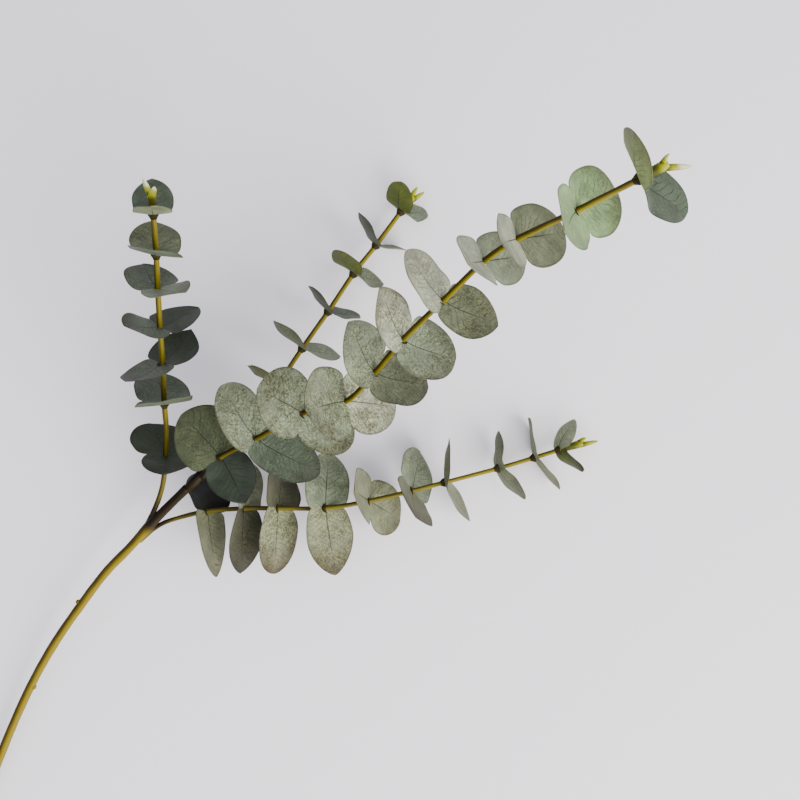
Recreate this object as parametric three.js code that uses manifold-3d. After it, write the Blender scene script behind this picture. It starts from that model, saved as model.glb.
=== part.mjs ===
// Eucalyptus branch lying on a table: one thick stem that forks into four leafy sprigs.
// Millimetres, +Z up. The branch is seen from above, so X runs right, Y runs up the picture
// and Z is the height over the table. Each pair of round leaves is one piece, joined round
// the sprig it is threaded on, with a short dark collar under it.

import * as THREE from 'three';
import { mergeVertices } from 'three/addons/utils/BufferGeometryUtils.js';
import Module from 'manifold-3d';

const wasm = await Module();
wasm.setup();

const STEM_RADIUS = 3.3;
const STEM_SIDES = 10;
const SPRIG_SIDES = 6;
const HOLE_SIDES = 8;
const HOLE_GAP = 0.7;
const BLADE_THICKNESS = 0.8;
const WAIST = 0.64;
const WIDEST_AT = 0.46;
const TIP_WIDTH = 0.12;
const COLLAR_HEIGHT = 3.2;
const COLLAR_WALL = 0.9;
const COLLAR_FLARE = 1.0;
const BORE_REACH = 12;
const BUD_SEAT = 3;
const BUD_RADIUS = 3;
const PRONG_RADIUS = 1.9;
const PRONG_TIP = 0.4;
const PRONG_ROOT = 3;
const PRONG_OFFSET = 0.8;
const TOUCH_GAP = 0.4;
const TUBE_STEP = 7;
const STATIONS = [0, 0.08, 0.28, 0.56, 0.82, 0.95, 1];
const ACROSS = [-1, -0.4, 0.4, 1];

// The origin lies under the middle of the branch, on the table.
const ORIGIN = [-90.8, -96.4, 0];

const BARK = { color: '#5d4a1a', roughness: 0.5, metalness: 0 };
const SPRIG = { color: '#8a7a1e', roughness: 0.45, metalness: 0 };
const BUD = { color: '#b6c43c', roughness: 0.5, metalness: 0 };
const LEAF = { color: '#8b9a85', roughness: 0.8, metalness: 0 };

// Routes are centre lines from the root end to the tip. A pair grows at route point `at`.
// `roll` turns the pair round its sprig: at 0 leaf a points to the left of the sprig, at 90
// it points up from the table. Leaf b is opposite, turned on by `swing`. Each leaf has
// [lean to the tip, twist about its midrib, length, width], in degrees and mm. Where it
// differs from others, pointedness of the tip, cup across it and bow along it follow. A bud
// has its length and prongs, each with [turn round the sprig, spread from it, length].

const MAIN_ROUTE = [
  [-339, -356, 2.8], [-305, -270, 12], [-282, -220, 18], [-261, -184, 24], [-238, -152, 30],
  [-219, -128, 35], [-201, -110, 40], [-186, -94, 45], [-172, -80, 49], [-155, -64, 55],
];

// Swellings of the main stem that hold the sprigs' roots: [centre, direction, length, radius].
const KNUCKLES = [
  [[-190, -98, 43.5], [15, 15, 5], 26, 3.9],
  [[-149, -58.5, 57], [15, 15, 5], 20, 4.1],
];

// Stubs where a twig broke off: [point inside the main stem, direction, height, radius].
const STUBS = [
  [[-238.5, -153, 29.7], [-8, 5, 3], 5.2, 1.8],
  [[-280.5, -217, 18.4], [9, -3, 2], 4.6, 2],
];

const SPRIGS = {
  left: {
    radius: 1.95,
    route: [
      [-186, -92, 44], [-177, -73, 50], [-172, -58, 56], [-169, -40, 64], [-166, -21, 76],
      [-165, -2, 88], [-163, 25, 104], [-162, 49, 117], [-161, 74, 129], [-160, 96, 139],
      [-160, 121, 148], [-160, 128, 151],
    ],
    pairs: [
      { at: 3, roll: 102, swing: 20, a: [9, 2, 34, 34], b: [10, 4, 36, 45] },
      { at: 5, roll: 102, swing: 8, a: [33, 8, 34, 40], b: [6, 12, 37, 40, 0.7] },
      {
        at: 6, roll: 53, swing: 4, a: [-1, 15, 33, 37, 0, 0.1, -0.14],
        b: [28, -7, 33, 41, 1.3, 0.1, -0.14],
      },
      { at: 7, roll: 48, swing: -6, a: [18, -12, 29, 34], b: [12, -4, 32, 38, 0.7] },
      { at: 8, roll: 142, swing: -20, a: [9, 4, 28, 34, 1.5], b: [16, 9, 30, 37, 0.4] },
      { at: 9, roll: 98, swing: 6, a: [19, -12, 30, 36], b: [25, 2, 34, 34, 0.7] },
      { at: 10, roll: 100, a: [21, -2, 25, 25], b: [34, 2, 32, 27, 0.7] },
    ],
    budLength: 11,
    prongs: [[20, 20, 8], [200, 16, 2]],
  },
  lower: {
    radius: 1.7,
    route: [
      [-193, -104, 41], [-177, -92, 43], [-160, -86, 44], [-142, -82, 45], [-115, -80, 44],
      [-90, -80, 43], [-55, -80, 41], [-23, -75, 38], [9, -68, 32], [34, -62, 26],
      [75, -52, 16.2], [103, -44, 12.6], [122, -38, 13], [129, -36, 13],
    ],
    pairs: [
      { at: 3, roll: -43, swing: 49, a: [0, -50, 35, 37], b: [-1, 22, 50, 35, 0.8, 0.15] },
      { at: 4, roll: -22, swing: 32, a: [14, -14, 34, 36, 0, 0.25], b: [-6, 38, 50, 36, 0.3, 0.25] },
      { at: 5, roll: -26, swing: 34, a: [4, -32, 34, 42, 0, 0.2], b: [-4, 46, 50, 38, 0, 0.15] },
      { at: 6, roll: -18, swing: 22, a: [7, -60, 43, 38, 0.2], b: [4, 64, 51, 38, 0.5] },
      { at: 7, roll: 73, swing: -20, a: [-18, -4, 42, 42], b: [34, 30, 42, 40] },
      { at: 8, roll: 111, swing: 28, a: [-12, 30, 46, 42], b: [27, -32, 38, 42] },
      { at: 9, roll: 29, swing: -15, a: [10, -16, 36, 34], b: [22, 20, 37, 34] },
      { at: 10, roll: 12, swing: -24, a: [12, -4, 29, 26], b: [24, -4, 31, 27] },
      { at: 11, roll: 0, swing: -4, a: [8, -4, 31, 26], b: [21, -2, 31, 27] },
      { at: 12, roll: 5, swing: -30, a: [43, 28, 26, 20], b: [28, -8, 25, 17] },
    ],
    budLength: 14,
    prongs: [[200, 4, 12], [20, 24, 4]],
  },
  middle: {
    radius: 1.9,
    route: [
      [-146, -53.5, 58.5], [-125, -35, 54], [-108, -13, 47], [-91, 11, 39], [-73, 39, 31],
      [-54, 67, 25], [-35, 96, 20.5], [-18, 118, 17.8], [1, 144, 15.2], [5, 149, 14.8],
    ],
    pairs: [
      { at: 3, roll: 42, swing: -10, a: [-6, 6, 30, 28], b: [26, 22, 30, 28] },
      { at: 4, roll: 29, swing: -5, a: [4, 2, 31, 28], b: [25, 26, 31, 28] },
      { at: 5, roll: 44, swing: -15, a: [10, -8, 27, 26], b: [28, 16, 27, 26] },
      { at: 6, roll: 49, swing: -21, a: [8, 14, 27, 26], b: [20, 29, 26, 26] },
      { at: 7, roll: 32, a: [18, -6, 29, 26], b: [30, 0, 25, 26] },
      { at: 8, roll: 55, swing: -14, a: [31, 14, 26, 24], b: [36, 24, 24, 24] },
    ],
    budLength: 11,
    prongs: [[10, 6, 8], [190, 18, 9]],
  },
  upper: {
    radius: 1.85,
    route: [
      [-143.5, -56, 60.5], [-129, -41, 67], [-101, -27, 84], [-66, -9, 108], [-36, -1, 130],
      [-16, 18, 152], [2, 38, 175], [26, 60, 200], [49, 81, 222], [67, 92, 236],
      [99, 106, 252], [131, 121, 266], [137, 124, 268.5],
    ],
    pairs: [
      { at: 1, roll: 18, swing: -26, a: [2, -32, 42, 51], b: [-2, 42, 38, 36, 0.9] },
      { at: 2, roll: 14, swing: 16, a: [2, -10, 45, 46], b: [20, 8, 52, 43] },
      { at: 3, roll: 54, swing: -16, a: [0, -20, 44, 48], b: [15, 14, 42, 42] },
      { at: 4, roll: 82, swing: -22, a: [5, -8, 44, 50], b: [14, 14, 39, 44] },
      { at: 5, roll: 4, swing: 28, a: [26, -6, 38, 46, 0.8], b: [11, 0, 37, 46] },
      { at: 6, roll: 5, swing: 26, a: [28, -6, 37, 37, 0.7], b: [5, 8, 38, 47] },
      { at: 7, roll: 10, swing: 16, a: [12, -4, 38, 36, 0.2], b: [11, 16, 38, 38, 0.4] },
      { at: 8, roll: 85, swing: -12, a: [15, 2, 37, 36], b: [8, 16, 38, 34] },
      { at: 9, roll: 91, swing: -12, a: [6, -2, 36, 33], b: [23, 8, 40, 39] },
      { at: 10, roll: 106, swing: -13, a: [-6, -4, 36, 38], b: [29, 4, 38, 42] },
      { at: 11, roll: 44, swing: -14, a: [18, 14, 32, 38, 0.3], b: [22, 22, 35, 37] },
    ],
    budLength: 13,
    prongs: [[30, 34, 4], [200, 28, 12]],
  },
};

function toSolid(geometry) {
  const bare = geometry.clone();
  bare.deleteAttribute('normal');
  bare.deleteAttribute('uv');
  const merged = mergeVertices(bare, 1e-4);
  return new wasm.Manifold(new wasm.Mesh({
    numProp: 3,
    vertProperties: new Float32Array(merged.attributes.position.array),
    triVerts: new Uint32Array(merged.index.array),
  }));
}

function toGeometry(solid) {
  const mesh = solid.getMesh();
  const geometry = new THREE.BufferGeometry();
  const positions = new Float32Array(mesh.vertProperties);
  geometry.setAttribute('position', new THREE.BufferAttribute(positions, 3));
  geometry.setIndex(new THREE.BufferAttribute(new Uint32Array(mesh.triVerts), 1));
  geometry.computeVertexNormals();
  return geometry;
}

function vector([x, y, z]) {
  return new THREE.Vector3(x, y, z);
}

function routeCurve(route) {
  return new THREE.CatmullRomCurve3(route.map(vector), false, 'catmullrom', 0.5);
}

function tube(curve, radius, sides, stepLength) {
  const corners = [];
  for (let i = 0; i < sides; i += 1) {
    const angle = 2 * Math.PI * i / sides;
    corners.push(new THREE.Vector2(radius * Math.cos(angle), radius * Math.sin(angle)));
  }
  const steps = Math.round(curve.getLength() / stepLength);
  return new THREE.ExtrudeGeometry(new THREE.Shape(corners), { steps, extrudePath: curve });
}

// A solid of revolution: `profile` lists [radius, height] along an axis that leaves `origin`
// in the given direction.
function turned(profile, sides, origin, direction) {
  const outline = profile.map(([radius, height]) => new THREE.Vector2(radius, height));
  const geometry = new THREE.LatheGeometry(outline, sides);
  const turn = new THREE.Quaternion().setFromUnitVectors(new THREE.Vector3(0, 1, 0), direction);
  geometry.applyMatrix4(new THREE.Matrix4().compose(origin, turn, new THREE.Vector3(1, 1, 1)));
  return geometry;
}

// Two directions square to the sprig: to its left, level with the table, and up from it.
function sprigAxes(tangent) {
  const side = new THREE.Vector3(0, 0, 1).cross(tangent).normalize();
  const up = tangent.clone().cross(side);
  return { side, up };
}

function outward(tangent, angle) {
  const { side, up } = sprigAxes(tangent);
  const turn = THREE.MathUtils.degToRad(angle);
  return side.multiplyScalar(Math.cos(turn)).addScaledVector(up, Math.sin(turn));
}

// The direction and the face normal of one leaf. The leaf stands square to the sprig, leans
// to the tip by `lean` and is then turned about its own midrib by `twist`.
function leafFrame(tangent, angle, lean, twist) {
  const out = outward(tangent, angle);
  const tilt = THREE.MathUtils.degToRad(lean);
  const along = out.clone().multiplyScalar(Math.cos(tilt));
  along.addScaledVector(tangent, Math.sin(tilt));
  const face = tangent.clone().multiplyScalar(Math.cos(tilt));
  face.addScaledVector(out, -Math.sin(tilt));
  face.applyAxisAngle(along, THREE.MathUtils.degToRad(twist));
  return { along, face };
}

// Half width of a leaf as a share of its widest: a waist at the sprig, a round belly at
// WIDEST_AT, and a tip that is round at a pointedness of 0 and sharper above.
function halfWidth(s, point) {
  if (s < WIDEST_AT) {
    const rest = (WIDEST_AT - s) / WIDEST_AT;
    return WAIST + (1 - WAIST) * Math.sqrt(1 - rest * rest);
  }
  const past = (s - WIDEST_AT) / (1 - WIDEST_AT);
  const tip = TIP_WIDTH * (1 - 0.4 * point);
  return Math.max(tip, Math.pow(1 - Math.pow(past, 2.1), 0.56 + 0.34 * point));
}

// Cross-sections of one leaf from the sprig to the tip. The midrib is a cubic curve that
// leaves the sprig along `start` and ends along the leaf's own direction. The face turns
// from the pair's shared normal to the leaf's own over the inner part.
function leafSections(node, start, sharedFace, frame, leaf, forward) {
  const [, , length, width, point = 0, cup = 0.1, bow = 0] = leaf;
  const belly = node.clone().addScaledVector(frame.along, 0.62 * length);
  belly.addScaledVector(frame.face, bow * length);
  const tip = node.clone().addScaledVector(frame.along, length);
  const inner = node.clone().addScaledVector(start, 0.28 * length);
  const midrib = new THREE.CubicBezierCurve3(node, inner, belly, tip);
  return STATIONS.map((s) => {
    const centre = midrib.getPoint(s);
    const run = midrib.getTangent(s).multiplyScalar(forward);
    const face = sharedFace.clone().lerp(frame.face, THREE.MathUtils.smoothstep(s, 0, 0.45));
    face.addScaledVector(run, -face.dot(run)).normalize();
    const across = face.clone().cross(run);
    const half = 0.5 * width * halfWidth(s, point);
    return ACROSS.map((v) => {
      const place = centre.clone().addScaledVector(across, v * half);
      place.addScaledVector(face, cup * half * Math.pow(Math.abs(v), 1.5));
      return { place, face };
    });
  });
}

// One closed sheet through all the sections. Both faces are split along the same diagonals.
function sheet(sections) {
  const rows = sections.length;
  const cols = ACROSS.length;
  const positions = [];
  for (const side of [0.5, -0.5]) {
    for (const { place, face } of sections.flat()) {
      positions.push(...place.clone().addScaledVector(face, side * BLADE_THICKNESS).toArray());
    }
  }
  const index = [];
  const quad = (p, q, r, s) => index.push(p, q, r, p, r, s);
  const top = (i, j) => i * cols + j;
  const under = (i, j) => rows * cols + i * cols + j;
  for (let i = 0; i < rows - 1; i += 1) {
    for (let j = 0; j < cols - 1; j += 1) {
      quad(top(i, j), top(i + 1, j), top(i + 1, j + 1), top(i, j + 1));
      index.push(under(i, j), under(i + 1, j + 1), under(i + 1, j));
      index.push(under(i, j), under(i, j + 1), under(i + 1, j + 1));
    }
    quad(top(i, 0), under(i, 0), under(i + 1, 0), top(i + 1, 0));
    quad(top(i, cols - 1), top(i + 1, cols - 1), under(i + 1, cols - 1), under(i, cols - 1));
  }
  for (let j = 0; j < cols - 1; j += 1) {
    quad(top(0, j), top(0, j + 1), under(0, j + 1), under(0, j));
    quad(top(rows - 1, j), under(rows - 1, j), under(rows - 1, j + 1), top(rows - 1, j + 1));
  }
  const geometry = new THREE.BufferGeometry();
  geometry.setAttribute('position', new THREE.Float32BufferAttribute(positions, 3));
  geometry.setIndex(index);
  return geometry;
}

function bladeSolid(node, tangent, { roll, swing = 0, a, b }) {
  const frameA = leafFrame(tangent, roll, a[0], a[1]);
  const frameB = leafFrame(tangent, roll + 180 + swing, b[0], b[1]);
  const run = frameB.along.clone().sub(frameA.along).normalize();
  const back = run.clone().negate();
  const shared = frameA.face.clone().add(frameB.face);
  shared.addScaledVector(run, -shared.dot(run)).normalize();
  const sectionsA = leafSections(node, back, shared, frameA, a, -1).reverse();
  const sectionsB = leafSections(node, run, shared, frameB, b, 1);
  return toSolid(sheet([...sectionsA, ...sectionsB.slice(1)]));
}

function collarSolid(node, tangent, radius) {
  const foot = node.clone().addScaledVector(tangent, -COLLAR_HEIGHT);
  const inner = radius + COLLAR_WALL;
  const top = COLLAR_HEIGHT + 0.25 * BLADE_THICKNESS;
  const profile = [[0, 0], [inner, 0], [inner + COLLAR_FLARE, top], [0, top]];
  return toSolid(turned(profile, HOLE_SIDES, foot, tangent));
}

function boreSolid(start, tangent, radius, length) {
  const hole = radius + HOLE_GAP;
  const profile = [[0, 0], [hole, 0], [hole, length], [0, length]];
  return toSolid(turned(profile, HOLE_SIDES, start, tangent));
}

function leafPair(sprig, curve, pair) {
  const t = pair.at / (sprig.route.length - 1);
  const node = curve.getPoint(t);
  const tangent = curve.getTangent(t);
  const below = node.clone().addScaledVector(tangent, -BORE_REACH);
  return bladeSolid(node, tangent, pair)
    .add(collarSolid(node, tangent, sprig.radius))
    .subtract(boreSolid(below, tangent, sprig.radius, 2 * BORE_REACH));
}

// The bud sits over the last few millimetres of the sprig and opens into two prongs.
function bud(sprig, curve) {
  const tangent = curve.getTangent(1);
  const foot = curve.getPoint(1).addScaledVector(tangent, -BUD_SEAT);
  const neck = sprig.radius + COLLAR_WALL;
  const size = sprig.budLength;
  const body = [
    [0, 0], [neck, 0], [BUD_RADIUS, 0.75 * size], [0.8 * BUD_RADIUS, size], [0, size],
  ];
  let solid = toSolid(turned(body, HOLE_SIDES, foot, tangent));
  for (const [turn, spread, length] of sprig.prongs) {
    const lean = THREE.MathUtils.degToRad(spread);
    const out = outward(tangent, turn);
    const along = tangent.clone().multiplyScalar(Math.cos(lean));
    along.addScaledVector(out, Math.sin(lean));
    const root = foot.clone().addScaledVector(tangent, size - PRONG_ROOT);
    root.addScaledVector(out, PRONG_OFFSET);
    const full = length + PRONG_ROOT;
    const spike = [
      [0, 0], [PRONG_RADIUS, 0], [0.85 * PRONG_RADIUS, 0.6 * full], [PRONG_TIP, full], [0, full],
    ];
    solid = solid.add(toSolid(turned(spike, SPRIG_SIDES, root, along)));
  }
  const mouth = foot.clone().addScaledVector(tangent, -1);
  return solid.subtract(boreSolid(mouth, tangent, sprig.radius, 1 + BUD_SEAT + TOUCH_GAP));
}

function mainStem(curves) {
  let solid = toSolid(tube(routeCurve(MAIN_ROUTE), STEM_RADIUS, STEM_SIDES, 2 * TUBE_STEP));
  for (const [centre, direction, length, radius] of KNUCKLES) {
    const axis = vector(direction).normalize();
    const start = vector(centre).addScaledVector(axis, -0.5 * length);
    const profile = [
      [0, 0], [STEM_RADIUS, 0.05 * length], [radius, 0.4 * length], [radius, 0.75 * length],
      [0.6 * radius, length], [0, length],
    ];
    solid = solid.add(toSolid(turned(profile, STEM_SIDES, start, axis)));
  }
  for (const [centre, direction, height, radius] of STUBS) {
    const profile = [[0, 0], [radius, 0], [radius, 0.8 * height], [0.6 * radius, height], [0, height]];
    const axis = vector(direction).normalize();
    solid = solid.add(toSolid(turned(profile, SPRIG_SIDES, vector(centre), axis)));
  }
  for (const [sprig, curve] of curves) {
    const tangent = curve.getTangent(0);
    const floor = curve.getPoint(0).addScaledVector(tangent, -TOUCH_GAP);
    solid = solid.subtract(boreSolid(floor, tangent, sprig.radius, 5 * TOUCH_GAP));
    solid = solid.subtract(toSolid(tube(curve, sprig.radius + HOLE_GAP, HOLE_SIDES, TUBE_STEP)));
  }
  return solid;
}

// What dips under the table top is pressed flat against it.
function pressedFlat(solid) {
  const slab = new THREE.BoxGeometry(1200, 1200, 20).translate(0, 0, -10);
  return solid.subtract(toSolid(slab));
}

const group = new THREE.Group();
group.position.set(-ORIGIN[0], -ORIGIN[1], -ORIGIN[2]);

function addPart(name, solid, finish) {
  const mesh = new THREE.Mesh(toGeometry(solid), new THREE.MeshStandardMaterial(finish));
  mesh.name = name;
  group.add(mesh);
}

const curves = Object.values(SPRIGS).map((sprig) => [sprig, routeCurve(sprig.route)]);
addPart('main_stem', pressedFlat(mainStem(curves)), BARK);

Object.entries(SPRIGS).forEach(([name, sprig], k) => {
  const curve = curves[k][1];
  addPart(`${name}_sprig_stem`, toSolid(tube(curve, sprig.radius, SPRIG_SIDES, TUBE_STEP)), SPRIG);
  sprig.pairs.forEach((pair, i) => {
    addPart(`${name}_leaf_pair_${i + 1}`, pressedFlat(leafPair(sprig, curve, pair)), LEAF);
  });
  addPart(`${name}_bud`, bud(sprig, curve), BUD);
});

export default group;
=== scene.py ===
"""Eucalyptus branch: fine leaves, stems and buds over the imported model, with a plain studio."""

import math

import bpy
import numpy as np
from bpy.props import FloatProperty, FloatVectorProperty, PointerProperty
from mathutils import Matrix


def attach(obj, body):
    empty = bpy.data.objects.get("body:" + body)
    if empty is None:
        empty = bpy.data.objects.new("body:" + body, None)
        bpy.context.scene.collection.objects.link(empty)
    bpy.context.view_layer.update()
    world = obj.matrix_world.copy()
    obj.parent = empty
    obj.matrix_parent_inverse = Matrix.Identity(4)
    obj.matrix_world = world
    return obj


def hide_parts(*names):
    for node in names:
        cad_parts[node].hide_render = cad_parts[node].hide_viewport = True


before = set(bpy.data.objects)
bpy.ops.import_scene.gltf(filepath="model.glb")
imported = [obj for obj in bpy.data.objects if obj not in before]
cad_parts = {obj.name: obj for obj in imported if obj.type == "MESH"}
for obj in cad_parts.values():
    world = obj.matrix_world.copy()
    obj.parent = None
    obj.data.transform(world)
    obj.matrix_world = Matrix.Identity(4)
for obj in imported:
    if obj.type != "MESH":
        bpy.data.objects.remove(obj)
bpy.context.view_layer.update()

bl_info = {
    "name": "Eucalyptus Branch",
    "version": (1, 0, 0),
    "blender": (4, 5, 0),
    "location": "3D View > Sidebar > Branch",
    "description": "A cut branch of round-leaved eucalyptus, its stems, leaf pairs and buds",
    "category": "Add Mesh",
}

MM = 0.001

# The branch is laid out in millimetres with the eye straight over (0, 0). ORIGIN is the
# point of that layout that lies at the frame's origin, under the middle of the branch.
ORIGIN = np.array([-90.8, -96.4, 0.0])
EYE_HEIGHT = 900.0

STEM_RADIUS = 3.3
COLLAR_HEIGHT = 3.2
COLLAR_WALL = 0.9
COLLAR_GAP = 0.25
COLLAR_FLARE = 0.7
BUD_SEAT = 3.0
BUD_RADIUS = 3.0
BUD_MOUTH = 0.6
PRONG_ROOT = 3.0
PRONG_OFFSET = 0.8
PRONG_BOW = 0.06
PRONG_TIP = 0.1

# 0.4 mm more than the CAD's prongs, to match the photo.
PRONG_RADIUS = 2.3

# A leaf's outline: its width where it leaves the sprig as a share of its widest, and the
# share of its length where it is widest.
WAIST = 0.64
WIDEST_AT = 0.46

# A leaf's midrib, in shares of its length: its inner and outer handles, where its face has
# turned from the pair's to its own, and its last row, just short of the tip.
INNER_HANDLE = 0.28
OUTER_HANDLE = 0.62
TURNED_BY = 0.45
LAST_ROW = 0.9995

# Waves along a leaf's rim, and how far the phase moves on for leaf b and for each pair.
RIM_WAVES = 1.4
LEAF_B_PHASE = 0.37
PAIR_PHASE = 0.618

# Centre line of the main stem, from the cut end to the fork.
MAIN_ROUTE = [
    (-339, -356, 2.8), (-305, -270, 12), (-282, -220, 18), (-261, -184, 24), (-238, -152, 30),
    (-219, -128, 35), (-201, -110, 40), (-186, -94, 45), (-172, -80, 49), (-155, -64, 55),
]

# The stem's two forks: where the first swells it along its route, and the second's swelling
# past its end, as centre, direction, length and radius.
FORK_AT = 0.78
FORK_SWELL = 0.16
FORK_WIDTH = 9.0
FORK_KNUCKLE = ((-149, -58.5, 57), (15, 15, 5), 22, 4.0)

# Stubs where a twig broke off: point inside the stem, direction, height, radius.
STUBS = [
    ((-238.5, -153, 29.7), (-8, 5, 3), 5.2, 1.8),
    ((-280.5, -217, 18.4), (9, -3, 2), 4.6, 2.0),
]

# How far a stem's swelling reaches along it at a leaf pair and at a sprig's root, in mm.
NODE_WIDTH = 1.6
ROOT_WIDTH = 7.0

# The bark is oldest between the ends of OLD_BARK: fully old within OLD_CORE mm of that line
# and not at all past OLD_EDGE mm. The bark also has painted light and shade from the direction
# set last: painted lit yellow on the side that faces it and painted shaded brown on the far side.
OLD_BARK = np.array([[-180.0, -88.0, 46.0], [-145.0, -55.0, 59.0]])
OLD_CORE = 5.0
OLD_EDGE = 16.0
# Direction of the painted light: bark facing it is painted lit, bark facing away painted shaded.
PAINTED_LIGHT_DIRECTION = (1.0, -0.35, 0.3)

# A bud's lips are olive at a paleness of 0.2, yellow-green at 0.5 and nearly white at 1.
LIP_PALENESS = {"left": 1.0, "lower": 0.45, "middle": 0.65, "upper": 0.95}

# Leaf colours, upper face then under face, named for what they look like. The near-black one
# is painted shadow, for a leaf that lies in deep shade behind others.
TONES = {
    "silver": ("#a3ab94", "#8f9678"),
    "sage": ("#818d74", "#7b8565"),
    "moss": ("#6c745a", "#646d4c"),
    "fern": ("#485139", "#434d31"),
    "mint": ("#84a06f", "#8e9c62"),
    "straw": ("#7f8669", "#767b58"),
    "khaki": ("#6a6e54", "#5e6245"),
    "umber": ("#464833", "#3f412d"),
    "olive": ("#5d6a2c", "#525c22"),
    "slate": ("#556250", "#4f5b44"),
    "pine": ("#2a3429", "#262f22"),
    "shade": ("#2a371f", "#253019"),
    # Painted shadow: near black, for a leaf in deep shade.
    "painted_shadow_black": ("#060b04", "#050803"),
}

# A sprig grows along its route. Each pair is (route point, roll, swing, leaf a, leaf b) and
# each leaf is (lean to the tip, twist, length, width), with (pointedness of the tip, cup,
# bow) after them where it differs from others. Angles are in degrees and sizes in
# millimetres. A prong of the bud is (turn round the sprig, spread from it, length). The rows
# repeat those of part.mjs.
SPRIGS = {
    "left": {
        "radius": 1.95,
        "route": [
            (-186, -92, 44), (-177, -73, 50), (-172, -58, 56), (-169, -40, 64), (-166, -21, 76),
            (-165, -2, 88), (-163, 25, 104), (-162, 49, 117), (-161, 74, 129), (-160, 96, 139),
            (-160, 121, 148), (-160, 128, 151),
        ],
        "pairs": [
            (3, 102, 20, (9, 2, 34, 34), (10, 4, 36, 45)),
            (5, 102, 8, (33, 8, 34, 40), (6, 12, 37, 40, 0.7)),
            (6, 53, 4, (-1, 15, 33, 37, 0, 0.1, -0.14), (28, -7, 33, 41, 1.3, 0.1, -0.14)),
            (7, 48, -6, (18, -12, 29, 34), (12, -4, 32, 38, 0.7)),
            (8, 142, -20, (9, 4, 28, 34, 1.5), (16, 9, 30, 37, 0.4)),
            (9, 98, 6, (19, -12, 30, 36), (25, 2, 34, 34, 0.7)),
            (10, 100, 0, (21, -2, 25, 25), (34, 2, 32, 27, 0.7)),
        ],
        "bud_length": 11,
        "prongs": [(20, 20, 8), (200, 16, 2)],
    },
    "lower": {
        "radius": 1.7,
        "route": [
            (-193, -104, 41), (-177, -92, 43), (-160, -86, 44), (-142, -82, 45), (-115, -80, 44),
            (-90, -80, 43), (-55, -80, 41), (-23, -75, 38), (9, -68, 32), (34, -62, 26),
            (75, -52, 16.2), (103, -44, 12.6), (122, -38, 13), (129, -36, 13),
        ],
        "pairs": [
            (3, -43, 49, (0, -50, 35, 37), (-1, 22, 50, 35, 0.8, 0.15)),
            (4, -22, 32, (14, -14, 34, 36, 0, 0.25), (-6, 38, 50, 36, 0.3, 0.25)),
            (5, -26, 34, (4, -32, 34, 42, 0, 0.2), (-4, 46, 50, 38, 0, 0.15)),
            (6, -18, 22, (7, -60, 43, 38, 0.2), (4, 64, 51, 38, 0.5)),
            (7, 73, -20, (-18, -4, 42, 42), (34, 30, 42, 40)),
            (8, 111, 28, (-12, 30, 46, 42), (27, -32, 38, 42)),
            (9, 29, -15, (10, -16, 36, 34), (22, 20, 37, 34)),
            (10, 12, -24, (12, -4, 29, 26), (24, -4, 31, 27)),
            (11, 0, -4, (8, -4, 31, 26), (21, -2, 31, 27)),
            (12, 5, -30, (43, 28, 26, 20), (28, -8, 25, 17)),
        ],
        "bud_length": 14,
        "prongs": [(200, 4, 12), (20, 24, 4)],
    },
    "middle": {
        "radius": 1.9,
        "route": [
            (-146, -53.5, 58.5), (-125, -35, 54), (-108, -13, 47), (-91, 11, 39), (-73, 39, 31),
            (-54, 67, 25), (-35, 96, 20.5), (-18, 118, 17.8), (1, 144, 15.2), (5, 149, 14.8),
        ],
        "pairs": [
            (3, 42, -10, (-6, 6, 30, 28), (26, 22, 30, 28)),
            (4, 29, -5, (4, 2, 31, 28), (25, 26, 31, 28)),
            (5, 44, -15, (10, -8, 27, 26), (28, 16, 27, 26)),
            (6, 49, -21, (8, 14, 27, 26), (20, 29, 26, 26)),
            (7, 32, 0, (18, -6, 29, 26), (30, 0, 25, 26)),
            (8, 55, -14, (31, 14, 26, 24), (36, 24, 24, 24)),
        ],
        "bud_length": 11,
        "prongs": [(10, 6, 8), (190, 18, 9)],
    },
    "upper": {
        "radius": 1.85,
        "route": [
            (-143.5, -56, 60.5), (-129, -41, 67), (-101, -27, 84), (-66, -9, 108), (-36, -1, 130),
            (-16, 18, 152), (2, 38, 175), (26, 60, 200), (49, 81, 222), (67, 92, 236),
            (99, 106, 252), (131, 121, 266), (137, 124, 268.5),
        ],
        "pairs": [
            (1, 18, -26, (2, -32, 42, 51), (-2, 42, 38, 36, 0.9)),
            (2, 14, 16, (2, -10, 45, 46), (20, 8, 52, 43)),
            (3, 54, -16, (0, -20, 44, 48), (15, 14, 42, 42)),
            (4, 82, -22, (5, -8, 44, 50), (14, 14, 39, 44)),
            (5, 4, 28, (26, -6, 38, 46, 0.8), (11, 0, 37, 46)),
            (6, 5, 26, (28, -6, 37, 37, 0.7), (5, 8, 38, 47)),
            (7, 10, 16, (12, -4, 38, 36, 0.2), (11, 16, 38, 38, 0.4)),
            (8, 85, -12, (15, 2, 37, 36), (8, 16, 38, 34)),
            (9, 91, -12, (6, -2, 36, 33), (23, 8, 40, 39)),
            (10, 106, -13, (-6, -4, 36, 38), (29, 4, 38, 42)),
            (11, 44, -14, (18, 14, 32, 38, 0.3), (22, 22, 35, 37)),
        ],
        "bud_length": 13,
        "prongs": [(30, 34, 4), (200, 28, 12)],
    },
}

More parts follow.
